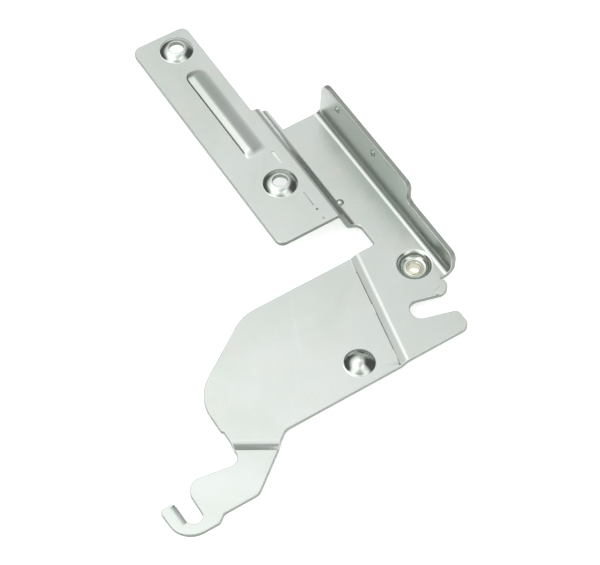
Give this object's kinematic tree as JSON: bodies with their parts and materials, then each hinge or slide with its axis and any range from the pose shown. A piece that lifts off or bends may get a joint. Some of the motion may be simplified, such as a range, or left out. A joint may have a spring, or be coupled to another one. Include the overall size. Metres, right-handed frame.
{
  "type": "dishwasher door hinge",
  "caption": "Flat pressed-steel door hinge arm with a stepped screw plate, side flange, pivot notch, eyelet and spring hook.",
  "frame": {"origin": "on the eyelet's bore axis, in the middle of the tube's straight wall", "axes": "+Z is the side that the flange and the screw bosses rise to; the fold lines run along Y with the screw plate towards +Y; the flange is at +X and the spring hook at -X"},
  "size_m": [0.128, 0.1712, 0.0226],
  "materials": {
    "zinc_steel": "satin zinc plating with a faint green-grey tint",
    "eyelet_steel": "satin plated steel, slightly yellower than the sheet"
  },
  "bodies": {
    "root": {"lever": "zinc_steel", "eyelet": "eyelet_steel"}
  },
  "joints": []
}
